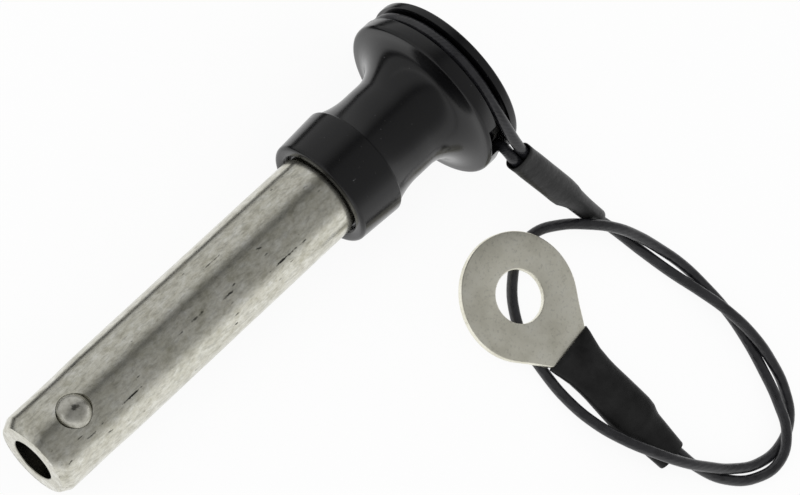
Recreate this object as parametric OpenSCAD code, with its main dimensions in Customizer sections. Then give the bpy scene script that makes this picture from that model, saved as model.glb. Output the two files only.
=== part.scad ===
// Push-button locking pin with a coated-cable lanyard, lying on its side.
// Millimetres. X runs towards the handle, Z is up and the floor is Z = 0.
// The pin itself is drawn along its own axis, with station 0 at the tip face,
// and is then laid down on its lower ball and the rim of its handle.

/* [Shank] */
// Diameter of the shank
shank_d = 12.7; // [12.4:0.1:13.2]
// Nominal thickness that the pin clamps
grip_len = 44.45; // [40:0.05:60]
// Spare length behind the balls
grip_play = 0.8; // [0.4:0.1:1.5]
// Diameter of the flat tip face
tip_face_d = 11; // [10:0.1:11.6]
// Length of the chamfer at the tip
tip_chamfer = 1.4; // [1:0.1:2]
// How far the shank is relieved round the balls, on the radius
lead_relief = 0.2; // [0.18:0.01:0.25]
// Diameter of the mouth in the tip
tip_hole_d = 6.56; // [6.3:0.02:7.4]
// Depth of the mouth in the tip
tip_hole_depth = 3; // [2:0.1:3.4]
// Diameter of the shank's pressed-in tail
tail_d = 10.4; // [10:0.1:10.8]
// Length of the pressed-in tail
tail_len = 11; // [10:0.1:11.5]

/* [Locking balls] */
// Diameter of each ball, as a share of the shank's
ball_share = 0.3937; // [0.38:0.0001:0.4]
// How far a ball stands out of the shank
ball_proud = 1.3; // [1.1:0.05:1.4]
// Distance from the tip face to the balls
ball_from_tip = 6.9; // [6.6:0.1:8]
// Lean of the upper ball from straight up, about the pin's axis
ball_lean = 20; // [0:1:30]
// Clearance round a ball in its hole
ball_clear = 0.05; // [0.03:0.01:0.08]

/* [Spindle and button] */
// Travel of the button
button_travel = 3.8; // [3.6:0.1:4.2]
// How far the balls go in below flush
ball_sink = 0.05; // [0.03:0.01:0.15]
// Radial clearance of the spindle in its bore
guide_clear = 0.05; // [0.03:0.01:0.09]
// Depth of the spindle's end below the tip face
spindle_depth = 4; // [3.9:0.1:4.4]
// Wall of the button's head, round its spring
button_wall = 0.95; // [0.8:0.05:1.1]
// How far the button stands out of the handle
button_out = 1.9; // [1:0.1:2.4]
// How far the button's bore stands out past its head
button_ledge = 0.85; // [0.7:0.05:0.9]
// Radial clearance of the button's flange
button_clear = 0.06; // [0.03:0.01:0.09]
// Depth of the spring's pocket in the button
pocket_depth = 5; // [4:0.1:5.6]

/* [Return spring] */
// Diameter of the spring's wire
wire_d = 0.8; // [0.6:0.05:0.9]
// Radial room between the spindle and the coils
coil_clear = 0.675; // [0.5:0.005:0.7]
// Distance from the spring's seat to the snap ring
chamber_len = 8.9; // [8.8:0.05:9.3]
// Number of turns
coil_turns = 7; // [5:0.5:8]
// Thickness of the washer under the spring
washer_t = 0.6; // [0.4:0.1:0.8]

/* [Handle] */
// Length of the collar in front of the waist
collar_len = 7.4; // [6.5:0.1:9]
// Diameter at the front of the collar
collar_front_d = 16.6; // [16.2:0.1:18]
// Diameter at the back of the collar
collar_back_d = 17.3; // [16.8:0.1:18]
// Distance from the collar's face to the thinnest part of the waist
waist_at = 12.4; // [11:0.1:14]
// Diameter of the waist
waist_d = 14.7; // [14.7:0.1:15.4]
// Length of the straight part of the waist
waist_len = 2.8; // [2:0.1:5]
// Radius of the flare under the flange
flare_r = 5.2; // [4.6:0.1:5.2]
// Diameter of the flange
flange_d = 25.6; // [25.6:0.1:28]
// Thickness of the flange in front of the groove
front_lip_t = 1.57; // [1.4:0.01:2.5]
// Thickness of the flange behind the groove
back_lip_t = 1.3; // [1.1:0.1:2]
// Diameter of the thumb dish in the back
dish_d = 19; // [17:0.1:20]
// Depth of the thumb dish
dish_depth = 1.2; // [0.6:0.1:1.2]

/* [Lanyard groove] */
// Diameter of the lanyard's cable
cable_d = 1.6; // [1.4:0.1:1.8]
// Axial room beside the cable in its groove
groove_side_clear = 0.4; // [0.25:0.05:0.4]
// How far the cable lies below the flange's edge
cable_sunk = 0.25; // [0.1:0.05:0.6]
// Room under the cable in its groove
groove_floor_clear = 0.1; // [0.08:0.01:0.3]
// Angle of the notch's first side, from straight up towards the lanyard
notch_from = 38; // [30:1:45]
// Angle that the notch spans
notch_span = 24; // [18:1:40]

/* [Lanyard ends] */
// Outer diameter of the ring terminal
ring_d = 18.8; // [17:0.1:20]
// Diameter of the ring's hole
ring_hole_d = 7.8; // [6:0.1:9]
// Thickness of the ring's plate
ring_t = 1.1; // [0.8:0.1:1.3]
// Height of the plate's underside, which rests on the cable
ring_lift = 1.66; // [1.62:0.01:1.8]
// Outer diameter of the crimp barrel
barrel_d = 3; // [2.8:0.1:3.4]
// Length of the crimp barrel
barrel_len = 9; // [7:0.1:11]
// Length of the crimp ferrule that closes the loop
ferrule_len = 9; // [7:0.1:11]
// How far the terminal's sleeve runs past its barrel
sleeve_past = 6.8; // [5:0.1:8]
// Wall of the shrunk sleeves
sleeve_t = 0.25; // [0.2:0.05:0.3]

/* [Hidden] */
$fn = 96;
over = 1; // how far a cutter runs past the face that it cuts

shank_r = shank_d / 2;
ball_r = ball_share * shank_d / 2;
cable_r = cable_d / 2;
flange_r = flange_d / 2;

// Where a resting ball's centre lies, and how far it moves in
ball_rest = shank_r + ball_proud - ball_r;
ball_travel = ball_proud + ball_sink;
ball_seen_r = sqrt(pow(ball_r, 2) - pow(shank_r - ball_rest, 2));

// The spindle's ramp turns the button's travel into the balls' travel
ramp = atan(ball_travel / button_travel);
ball_gap = 0.02;
land_r = ball_rest - (ball_r + ball_gap) * cos(ramp);
land_end = ball_from_tip - (ball_r + ball_gap) * sin(ramp);
neck_r = ball_rest - ball_travel - ball_r - guide_clear;
ramp_end = land_end + (land_r - neck_r) / tan(ramp);
neck_end = ball_from_tip + button_travel + ball_r + 0.8;
guide_r = land_r + guide_clear;

// Stations along the pin
collar_s = ball_from_tip + ball_seen_r + grip_len + grip_play;
collar_end = collar_s + collar_len;
waist_s = collar_s + waist_at;
flare_s = waist_s + waist_len;
seat_depth = 1;
relief = 0.3;
relief_lead = 0.15;
lead_r = shank_r - lead_relief;
lead_end = ball_from_tip + ball_r - 0.2;
lead_blend = 1.2;
seat_clear = 0.05;
tail_r = tail_d / 2;
tail_end = collar_s + seat_depth + tail_len;
coil_r = land_r + coil_clear + wire_d / 2;
pocket_r = coil_r + wire_d / 2 + 0.2;
button_r = pocket_r + button_wall;
button_bore_r = button_r + button_ledge;
button_flange_t = 1.6;
stop_gap = 0.2;

// Flare, rim and groove of the handle
edge_r = 0.6;
flare_stop = 10;
flare_end = [flare_s + flare_r * cos(flare_stop), waist_d / 2 + flare_r * (1 - sin(flare_stop))];
rim_mid_r = flange_r - edge_r;
rim_rise = rim_mid_r + edge_r * sin(flare_stop) - flare_end.y;
rim_s = flare_end.x + rim_rise * tan(flare_stop) + edge_r * cos(flare_stop);
groove_s = rim_s + front_lip_t;
groove_w = cable_d + 2 * groove_side_clear;
groove_mid = groove_s + groove_w / 2;
loop_r = flange_r - cable_sunk - cable_r;
groove_r = loop_r - cable_r - groove_floor_clear;
back_s = groove_s + groove_w + back_lip_t;
button_end = back_s + button_out;

// Inside the handle: spring seat, button flange and the ring that stops it
spring_bore_r = pocket_r + 0.25;
ring_groove_w = 1;
ring_groove_s = tail_end + chamber_len;
ring_wire_t = 0.9;
ring_out_r = button_bore_r + 0.5;
ring_in_r = button_r + 0.2;
flange_s = ring_groove_s - button_flange_t;
bore_step_s = flange_s - button_travel - stop_gap;
spring_from = tail_end + washer_t;
spring_to = flange_s + pocket_depth;
spigot_r = 1.9;
spigot_len = 2.4;

// The lie of the pin: it rests on the lower ball and on the edge of the flange
lie_rise = flange_r - ball_rest * cos(ball_lean);
lie_run = rim_s - ball_from_tip;
lie = acos(ball_r / norm([lie_rise, lie_run])) - atan2(lie_run, lie_rise);
rim_axis_z = flange_r * cos(lie);
tip_z = rim_axis_z - rim_s * sin(lie);
button_edge = 0.5;
low_x = -tip_face_d / 2 * sin(lie);
high_x = button_end * cos(lie) + (button_r - button_edge) * sin(lie);
mid_x = (low_x + high_x) / 2;

// A point given as [station, side, up] in the pin's own frame
function laid(p) = [p.x * cos(lie) - p.z * sin(lie) - mid_x, p.y, tip_z + p.x * sin(lie) + p.z * cos(lie)];
function unit(v) = v / norm(v);
function arc(c, r, a0, a1, n) =
    [for (i = [0:n]) let (a = a0 + (a1 - a0) * i / n) c + r * [cos(a), sin(a)]];

// The loop leaves the groove through the notch, and its two strands enter the ferrule's sleeve
function on_loop(a) = laid([groove_mid, -loop_r * sin(a), loop_r * cos(a)]);
function up_loop(a) = on_loop(a - 90) - laid([groove_mid, 0, 0]);
ferrule_near = [36.6, -13.8, 19.1];
ferrule_far = [50, -32.2, 1.8];
ferrule_dir = unit(ferrule_far - ferrule_near);
sleeve_len = norm(ferrule_far - ferrule_near);
pair_hint = [0.86, 0.2, 0.46];
pair_dir = unit(pair_hint - (pair_hint * ferrule_dir) * ferrule_dir);
pair_half = cable_r + 0.02;
upper_leave = 14;
lower_leave = 76;
upper_in = 1.6;
lower_in = 0.8;
ferrule_at = 3.5;
sleeve_step = 16;
ferrule_wall = 0.25;
hug = 0.03;

// The lanyard's route over the floor, from the loop's sleeve to the ring's barrel
route = [[50, -32.2, 1.8], [50.6, -33, 1.1], [51.4, -35, 0.8], [53, -41, 0.8], [54.4, -46, 0.9],
         [56, -51, 1.7], [57, -55.5, 2.7], [58, -61, 2.6], [58.1, -66, 1.7],
         [57.5, -71, 0.8], [55, -75, 0.8], [50.5, -76.5, 0.8], [46, -76, 0.8],
         [41.5, -73, 1.4], [38, -69.5, 3], [34.5, -66, 4.3], [32, -62, 4.9],
         [29.5, -57.5, 4.2], [28.5, -53, 2], [28, -48, 0.9], [28, -43, 0.8],
         [28.5, -38, 0.8], [30, -33.5, 0.8], [33.5, -29.5, 0.8], [37.5, -27.3, 0.8],
         [41, -27, 0.9], [44, -28.5, 2.6], [46.6, -31.15, 5.1], [50, -34.4, 4.6], [52.5, -37.5, 3.2],
         [55, -42, 1.7], [57, -46.5, 1], [57.5, -51, 0.8], [58, -56, 0.8],
         [57.5, -61, 0.8], [56.5, -66.5, 0.8], [54.5, -71, 1.9], [52, -75.5, 3],
         [48.5, -78, 2], [44, -77.2, 0.9], [39.8, -73.7, 0.8], [37.3, -69.1, 1.2],
         [36.3, -64.6, 2], [35, -60, 2], [34.2, -56, 2], [33.6, -50, 2]];
last = len(route) - 1;

// The ring terminal in its own frame: X runs from the ring to the cable
ring_at = [31.8, -32, 0];
barrel_end = route[last];
barrel_step = barrel_end - ring_at;
ring_turn = atan2(barrel_step.y, barrel_step.x);
barrel_z = 2;
neck_at = 10.4;
tab_w = 8;
barrel_from = norm([barrel_step.x, barrel_step.y]) - 1;
barrel_to = barrel_from + barrel_len;
terminal_len = barrel_to + sleeve_past;
exit_side = 1.25;
// Stations of the shrunk sleeve: [distance, half width, half height, height of its middle]
sleeve_stations = [[neck_at, tab_w / 2 + 0.5, ring_t / 2 + 0.4, ring_lift + ring_t / 2],
                   [neck_at + 3.6, 3.7, 1.5, 2.1], [neck_at + 6, 3.4, barrel_z, barrel_z],
                   [barrel_to - 2, 3.7, barrel_z, barrel_z], [barrel_to, 3.4, 1.95, barrel_z],
                   [barrel_to + 0.6, 3.1, 1.7, barrel_z], [terminal_len, 2.6, 1.45, barrel_z]];

// Helpers

// Lay a part drawn in the pin's own frame down on the floor
module lay_down() {
    translate([-mid_x, 0, tip_z]) rotate([0, -lie, 0]) children();
}

// Revolve an outline of [station, radius] points about the pin's axis
module turned(points) {
    rotate([0, 90, 0]) rotate_extrude() polygon([for (p = points) [p.y, p.x]]);
}

// A cylinder between two stations of the pin
module bar(r, from, to) {
    translate([from, 0, 0]) rotate([0, 90, 0]) cylinder(r = r, h = to - from);
}

// Turn a part drawn along Z to the direction of a ball's hole
module along_ball(side) {
    translate([ball_from_tip, 0, 0]) rotate([-ball_lean + (side > 0 ? 0 : 180), 0, 0]) children();
}

// Stand a part drawn along Z on the ferrule's line, with X across the two strands
module on_ferrule() {
    tilt = acos(ferrule_dir.z);
    turn = atan2(ferrule_dir.y, ferrule_dir.x);
    across = [cos(tilt) * cos(turn), cos(tilt) * sin(turn), -sin(tilt)];
    beside = [-sin(turn), cos(turn), 0];
    translate(ferrule_near) rotate([0, tilt, turn])
        rotate([0, 0, atan2(pair_dir * beside, pair_dir * across)]) children();
}

// A bar with a racetrack section, of radius r and centres spread apart by 2 * half
module racetrack(r, half, len) {
    for (x = [-half, half]) translate([x, 0, 0]) cylinder(r = r, h = len);
    translate([-half, -r, 0]) cube([2 * half, 2 * r, len]);
}

// Direction of a path at point i
function heading(path, i) =
    let (last = len(path) - 1)
    unit(path[min(i + 1, last)] - path[max(i - 1, 0)]);

// One ring of points round a path, square to it
function hoop(path, i, r, sides, ref) =
    let (t = heading(path, i), n = unit(cross(ref, t)), b = cross(t, n))
    [for (k = [0:sides - 1]) path[i] + r * (cos(360 * k / sides) * n + sin(360 * k / sides) * b)];

// A tube swept along a path
module swept(path, r, sides, ref) {
    rings = len(path);
    points = [for (i = [0:rings - 1]) each hoop(path, i, r, sides, ref)];
    walls = [for (i = [0:rings - 2], k = [0:sides - 1])
        let (a = i * sides + k, b = i * sides + (k + 1) % sides)
        [a, a + sides, b + sides, b]];
    near = [for (k = [0:sides - 1]) k];
    far = [for (k = [sides - 1:-1:0]) (rings - 1) * sides + k];
    polyhedron(points, concat([near, far], walls), convexity = 10);
}

// Pieces

module shank() {
    color("lightgray") lay_down() difference() {
        turned([[0, 0], [0, tip_face_d / 2], [tip_chamfer, lead_r],
                [lead_end, lead_r], [lead_end + lead_blend, shank_r],
                [collar_s - relief_lead, shank_r], [collar_s - relief_lead, shank_r - relief],
                [collar_s + seat_depth, shank_r - relief], [collar_s + seat_depth, tail_r],
                [tail_end - 0.4, tail_r], [tail_end, tail_r - 0.4], [tail_end, 0]]);
        bar(guide_r, -over, tail_end + over);
        turned([[-over, 0], [-over, tip_hole_d / 2], [tip_hole_depth, tip_hole_d / 2],
                [tip_hole_depth + tip_hole_d / 2 - guide_r, guide_r], [tip_hole_depth + 2, 0]]);
        for (side = [-1, 1]) along_ball(side) ball_hole();
    }
}

// A ball's hole, drawn in at its mouth so that the ball can't fall out
module ball_hole() {
    hole_r = ball_r + ball_clear;
    shoulder = ball_rest + 0.3;
    lip = lead_r - 0.15;
    lip_r = sqrt(pow(ball_r, 2) - pow(lip - ball_rest, 2)) + ball_clear;
    rotate_extrude() polygon([[0, 0], [hole_r, 0], [hole_r, shoulder], [lip_r, lip],
                              [lip_r + 0.35, lip + 0.5], [lip_r + 0.35, shank_r + over],
                              [0, shank_r + over]]);
}

module locking_ball(side) {
    color("silver") lay_down() along_ball(side) translate([0, 0, ball_rest]) sphere(r = ball_r);
}

module upper_ball() locking_ball(1);
module lower_ball() locking_ball(-1);

module spindle() {
    end_bevel = 0.5;
    shoulder_s = spring_to;
    color("gainsboro") lay_down()
        turned([[spindle_depth, 0], [spindle_depth, land_r - end_bevel],
                [spindle_depth + end_bevel, land_r], [land_end, land_r],
                [ramp_end, neck_r], [neck_end, neck_r],
                [neck_end + land_r - neck_r, land_r], [shoulder_s, land_r],
                [shoulder_s, spigot_r], [shoulder_s + spigot_len, spigot_r],
                [shoulder_s + spigot_len, 0]]);
}

module push_button() {
    flange_r_in = button_bore_r - button_clear;
    color("dimgray") lay_down() difference() {
        turned([[flange_s, 0], [flange_s, flange_r_in], [flange_s + button_flange_t - ball_gap, flange_r_in],
                [flange_s + button_flange_t - ball_gap, button_r], [button_end - button_edge, button_r],
                [button_end, button_r - button_edge], [button_end, 0]]);
        bar(pocket_r, flange_s - over, spring_to);
        bar(spigot_r, spring_to - over, spring_to + spigot_len);
    }
}

module return_spring() {
    steps = 14;
    r = coil_r;
    room = spring_to - spring_from - wire_d;
    // the first and last turns lie closed, and the rest rise evenly
    function rise(u) = wire_d * min(u, 1) + wire_d * max(0, u - coil_turns + 1)
        + (room - 2 * wire_d) * min(max((u - 1) / (coil_turns - 2), 0), 1);
    path = [for (i = [0:coil_turns * steps]) let (u = i / steps)
        [spring_from + wire_d / 2 + rise(u), r * cos(360 * u), r * sin(360 * u)]];
    color("silver") lay_down() swept(path, wire_d / 2 - ball_gap, 6, [1, 0, 0]);
}

module spring_washer() {
    color("silver") lay_down() difference() {
        bar(spring_bore_r - guide_clear, tail_end, spring_from);
        bar(guide_r + guide_clear, tail_end - over, spring_from + over);
    }
}

// Open ring that snaps into the groove behind the button's flange
module snap_ring() {
    open = 36;
    lug_r = 0.7;
    lug_mid = ring_out_r - lug_r - 0.05;
    color("gray") lay_down() translate([ring_groove_s, 0, 0]) rotate([0, 90, 0]) difference() {
        union() {
            rotate([0, 0, open / 2]) rotate_extrude(angle = 360 - open)
                translate([ring_in_r, 0]) square([ring_out_r - ring_in_r, ring_wire_t]);
            for (side = [-1, 1]) rotate([0, 0, side * (open / 2 + 4)])
                translate([lug_mid, 0, 0]) cylinder(r = lug_r, h = ring_wire_t);
        }
        for (side = [-1, 1]) rotate([0, 0, side * (open / 2 + 4)])
            translate([lug_mid, 0, -over]) cylinder(r = 0.3, h = ring_wire_t + 2 * over, $fn = 24);
        cylinder(r = button_r + 0.1, h = 3, center = true);
    }
}

module handle() {
    front_r = collar_front_d / 2;
    back_r = collar_back_d / 2;
    waist_r = waist_d / 2;
    small = 0.3;
    step_r = back_r - small;
    drop = step_r - waist_r;
    run = waist_s - collar_end;
    sweep_r = (pow(run, 2) + pow(drop, 2)) / (2 * drop);
    sweep_a = asin(run / sweep_r);
    bore_front = shank_r + seat_clear;
    lip = 0.15;
    outline = concat(
        [[collar_s + 0.55, bore_front], [collar_s, bore_front + 0.55]],
        arc([collar_s + edge_r, front_r - edge_r], edge_r, 180, 90, 5),
        arc([collar_end - small, back_r - small], small, 90, 0, 3),
        arc([waist_s, waist_r + sweep_r], sweep_r, -90 - sweep_a, -90, 5),
        arc([flare_s, waist_r + flare_r], flare_r, -90, -flare_stop, 10),
        arc([rim_s, rim_mid_r], edge_r, 180 - flare_stop, 90, 5),
        [[groove_s - lip, flange_r], [groove_s, flange_r - lip], [groove_s, groove_r],
         [groove_s + groove_w, groove_r], [groove_s + groove_w, flange_r - lip],
         [groove_s + groove_w + lip, flange_r]],
        arc([back_s - 0.4, flange_r - 0.4], 0.4, 90, 0, 3),
        [[back_s, dish_d / 2], [back_s - 0.7 * dish_depth, 0.55 * dish_d / 2 + 0.45 * button_bore_r],
         [back_s - dish_depth, button_bore_r],
         [ring_groove_s + ring_groove_w, button_bore_r], [ring_groove_s + ring_groove_w, ring_out_r],
         [ring_groove_s, ring_out_r], [ring_groove_s, button_bore_r], [bore_step_s, button_bore_r],
         [bore_step_s, spring_bore_r], [tail_end, spring_bore_r], [tail_end, tail_r],
         [collar_s + seat_depth, tail_r], [collar_s + seat_depth, bore_front]]);
    color([0.1, 0.1, 0.11]) lay_down() difference() {
        turned(outline);
        // the notch in the front lip, where both strands leave the groove
        translate([rim_s, 0, 0]) rotate([0, 90, 0]) rotate([0, 0, 180 + notch_from])
            rotate_extrude(angle = notch_span)
                translate([groove_r, 0]) square([flange_r - groove_r + over, front_lip_t + 0.1]);
    }
}

// A point on a strand inside the sleeve, and a smooth curve between two tangents
function strand_at(d, side) = ferrule_near + d * ferrule_dir + side * pair_half * pair_dir;
function curve(p, q, r, s, n) = [for (i = [0:n]) let (u = i / n, v = 1 - u)
    v * v * v * p + 3 * v * v * u * q + 3 * v * u * u * r + u * u * u * s];

// The loop: its tail in the ferrule, once round the groove, and back through the ferrule
module cable_loop() {
    step = 10;
    lower_end = strand_at(lower_in, -1);
    upper_end = strand_at(upper_in, 1);
    lower_up = unit(up_loop(lower_leave));
    upper_up = unit(up_loop(upper_leave));
    lower = curve(lower_end, lower_end - 2 * ferrule_dir, on_loop(lower_leave) + 3 * lower_up,
                  on_loop(lower_leave), 6);
    upper = curve(on_loop(upper_leave), on_loop(upper_leave) - 6 * upper_up,
                  upper_end - 4 * ferrule_dir, upper_end, 6);
    path = concat(
        [strand_at(ferrule_at + ferrule_len, -1), strand_at(ferrule_at, -1)], lower,
        [for (a = [lower_leave + step:step:360 + upper_leave - step / 2]) on_loop(a)], upper,
        [strand_at(ferrule_at, 1), strand_at(ferrule_at + ferrule_len, 1),
         strand_at(sleeve_step, 0.5), strand_at(sleeve_step + 4, 0), ferrule_far]);
    color([0.15, 0.15, 0.15]) swept(path, cable_r, 8, laid([1, 0, 0]) - laid([0, 0, 0]));
}

module loop_ferrule() {
    color("peru") on_ferrule() translate([0, 0, ferrule_at]) difference() {
        racetrack(cable_r + ferrule_wall, pair_half, ferrule_len);
        translate([0, 0, -over]) racetrack(cable_r + hug, pair_half, ferrule_len + 2 * over);
    }
}

module loop_sleeve() {
    in_r = cable_r + ferrule_wall + hug;
    out_r = in_r + sleeve_t;
    end_half = 0.3;
    color([0.12, 0.12, 0.12]) on_ferrule() difference() {
        union() {
            racetrack(out_r, pair_half, sleeve_step, $fn = 32);
            hull() {
                translate([0, 0, sleeve_step - 0.1]) racetrack(out_r, pair_half, 0.1, $fn = 32);
                translate([0, 0, sleeve_step + 3.5]) racetrack(out_r, end_half, 0.1, $fn = 32);
            }
            hull() {
                translate([0, 0, sleeve_step + 3.5]) racetrack(out_r, end_half, 0.1, $fn = 32);
                translate([0, 0, sleeve_len - 0.1]) racetrack(out_r - 0.1, end_half - 0.1, 0.1, $fn = 32);
            }
        }
        translate([0, 0, -over]) racetrack(in_r, pair_half, sleeve_step + over, $fn = 32);
        translate([0, 0, sleeve_step - 0.01]) racetrack(cable_r + 0.1, 0.42, sleeve_len, $fn = 32);
    }
}

module lanyard_cable() {
    color([0.15, 0.15, 0.15]) swept(route, cable_r, 8, [0, 0, 1]);
}

// Put a part drawn in the terminal's own frame in its place
module on_ring() {
    translate(ring_at) rotate([0, 0, ring_turn]) children();
}

// Outline of the tab that joins the ring to its barrel
module tab() {
    polygon([[ring_d * 0.2, -ring_d * 0.45], [neck_at, -tab_w / 2], [neck_at + 3, -2.2],
             [barrel_from + 0.6, -1.2], [barrel_from + 0.6, 1.2], [neck_at + 3, 2.2],
             [neck_at, tab_w / 2], [ring_d * 0.2, ring_d * 0.45]]);
}

module ring_terminal() {
    bore = cable_r + hug;
    color("darkkhaki") on_ring() difference() {
        union() {
            translate([0, 0, ring_lift]) {
                cylinder(r = ring_d / 2, h = ring_t);
                linear_extrude(ring_t) tab();
            }
            translate([barrel_from, 0, barrel_z]) rotate([0, 90, 0]) cylinder(r = barrel_d / 2, h = barrel_len);
        }
        translate([0, 0, ring_lift - over]) cylinder(r = ring_hole_d / 2, h = ring_t + 2 * over);
        translate([barrel_from + 1, 0, barrel_z]) rotate([0, 90, 0]) cylinder(r = bore, h = barrel_len);
    }
}

// A closed skin through a row of elliptical sections
module lofted(sections, sides) {
    n = len(sections);
    points = [for (s = sections, k = [0:sides - 1])
        [s[0], s[1] * cos(360 * k / sides), s[3] + s[2] * sin(360 * k / sides)]];
    walls = [for (i = [0:n - 2], k = [0:sides - 1])
        let (a = i * sides + k, b = i * sides + (k + 1) % sides)
        [a, a + sides, b + sides, b]];
    near = [for (k = [0:sides - 1]) k];
    far = [for (k = [sides - 1:-1:0]) (n - 1) * sides + k];
    polyhedron(points, concat([near, far], walls), convexity = 6);
}

module terminal_sleeve() {
    color([0.12, 0.12, 0.12]) on_ring() difference() {
        lofted(sleeve_stations, 24);
        // room for the terminal's tab, its barrel and the cable
        translate([0, 0, ring_lift - hug]) linear_extrude(ring_t + 2 * hug) offset(delta = hug) tab();
        translate([barrel_from - hug, 0, barrel_z]) rotate([0, 90, 0])
            cylinder(r = barrel_d / 2 + hug, h = barrel_len + 2 * hug);
        hull() {
            translate([barrel_to - 0.5, 0, barrel_z]) rotate([0, 90, 0]) cylinder(r = cable_r + 0.1, h = 0.1);
            translate([terminal_len, exit_side, barrel_z]) rotate([0, 90, 0])
                cylinder(r = cable_r + 0.15, h = 0.1);
        }
    }
}

shank();
handle();
spindle();
push_button();
return_spring();
spring_washer();
snap_ring();
upper_ball();
lower_ball();
cable_loop();
loop_ferrule();
loop_sleeve();
lanyard_cable();
ring_terminal();
terminal_sleeve();
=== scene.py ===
import math

import bmesh
import bpy
from mathutils import Matrix, Vector


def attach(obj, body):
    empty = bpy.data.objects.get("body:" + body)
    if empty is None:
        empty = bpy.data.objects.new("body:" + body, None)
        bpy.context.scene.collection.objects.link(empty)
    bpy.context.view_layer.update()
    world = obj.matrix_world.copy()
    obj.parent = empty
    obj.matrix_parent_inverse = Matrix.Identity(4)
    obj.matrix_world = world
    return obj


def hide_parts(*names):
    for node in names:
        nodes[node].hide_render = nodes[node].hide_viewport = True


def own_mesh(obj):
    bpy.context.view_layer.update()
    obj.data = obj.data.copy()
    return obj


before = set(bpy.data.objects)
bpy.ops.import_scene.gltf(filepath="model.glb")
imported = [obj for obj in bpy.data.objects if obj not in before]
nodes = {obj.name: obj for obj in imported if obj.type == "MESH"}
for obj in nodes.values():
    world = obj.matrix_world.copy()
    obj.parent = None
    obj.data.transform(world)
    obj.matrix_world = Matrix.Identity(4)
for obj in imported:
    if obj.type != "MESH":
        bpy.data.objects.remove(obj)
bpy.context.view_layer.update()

# Sizes of the pin, in millimetres, as the part has them
SHANK_R = 6.35
BALL_R = 2.5
BALL_S = 6.9
BALL_REST = 5.15
BALL_LEAN = 20.0
COLLAR_S = 54.3432
RIM_S = 75.3709
GROOVE_S = 76.9409
GROOVE_MID = 78.1409
BACK_S = 80.6409
BUTTON_END = 82.5409
SPRING_FROM = 66.9432
SPRING_TO = 78.6432
COLLAR_BACK_S = 61.7432
WAIST_S = 66.7432
FLARE_S = 69.5432
WAIST_R = 7.35
FLARE_R = 5.2
FLANGE_R = 12.8
GROOVE_R = 10.85
LOOP_R = 11.75
TAIL_R = 5.2
GUIDE_R = 2.83
MOUTH_R = 3.28
RING_R = 9.4
EYE_R = 3.9

# How the pin lies: its lean in degrees, the middle of its length, and the height of its tip's middle
LIE = 4.55312889
MID_X = 41.11640721
TIP_Z = 6.77639854
CABLE_R = 0.8

# The lean's tangent, and the height in metres of the pin's axis over the origin
PIN_SLOPE = 0.0796
PIN_HEIGHT = 0.01006

# The move, after the turn, that brings the tip's middle to a pattern's origin, in metres
PIN_PLACE = (0.040449, 0.0, -0.010019)

# The ring terminal's middle and turn, and the ends of the sleeve over the loop's crimp
RING_AT = Vector((31.8, -32.0, 0.0))
RING_TURN = math.atan2(-50.0 + 32.0, 33.6 - 31.8)
FERRULE_NEAR = Vector((36.6, -13.8, 19.1))
FERRULE_FAR = Vector((50.0, -32.2, 1.8))

# The lanyard's route, in millimetres, as the part has it
ROUTE = [
    (50, -32.2, 1.8), (50.6, -33, 1.1), (51.4, -35, 0.8), (53, -41, 0.8), (54.4, -46, 0.9),
    (56, -51, 1.7), (57, -55.5, 2.7), (58, -61, 2.6), (58.1, -66, 1.7),
    (57.5, -71, 0.8), (55, -75, 0.8), (50.5, -76.5, 0.8), (46, -76, 0.8),
    (41.5, -73, 1.4), (38, -69.5, 3), (34.5, -66, 4.3), (32, -62, 4.9),
    (29.5, -57.5, 4.2), (28.5, -53, 2), (28, -48, 0.9), (28, -43, 0.8),
    (28.5, -38, 0.8), (30, -33.5, 0.8), (33.5, -29.5, 0.8), (37.5, -27.3, 0.8),
    (41, -27, 0.9), (44, -28.5, 2.6), (46.6, -31.15, 5.1), (50, -34.4, 4.6), (52.5, -37.5, 3.2),
    (55, -42, 1.7), (57, -46.5, 1), (57.5, -51, 0.8), (58, -56, 0.8),
    (57.5, -61, 0.8), (56.5, -66.5, 0.8), (54.5, -71, 1.9), (52, -75.5, 3),
    (48.5, -78, 2), (44, -77.2, 0.9), (39.8, -73.7, 0.8), (37.3, -69.1, 1.2),
    (36.3, -64.6, 2), (35, -60, 2), (34.2, -56, 2), (33.6, -50, 2),
]

# Marks on the shank: start, end, angle from up towards +Y, half width, darkness
SCRATCHES = [
    (11.7, 16.6, -14.2, 0.16, 0.05), (40.3, 45.1, -19.0, 0.17, 0.05), (45.4, 47.2, -19.8, 0.1, 0.12),
    (32.6, 36.7, 39.5, 0.12, 0.3), (32.2, 34.5, -4.2, 0.2, 0.12), (26.6, 28.9, 2.0, 0.18, 0.25),
    (24.2, 25.2, 1.0, 0.12, 0.25), (33.9, 35.1, 0.5, 0.12, 0.2), (5.5, 7.4, -17.0, 0.14, 0.25),
]

MM = 0.001
TO_METRES = Matrix.Scale(MM, 4)
PIN_LAID = (TO_METRES @ Matrix.Translation((-MID_X, 0, TIP_Z))
            @ Matrix.Rotation(-math.radians(LIE), 4, "Y"))
RING_LAID = TO_METRES @ Matrix.Translation(RING_AT) @ Matrix.Rotation(RING_TURN, 4, "Z")


# Camera

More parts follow.
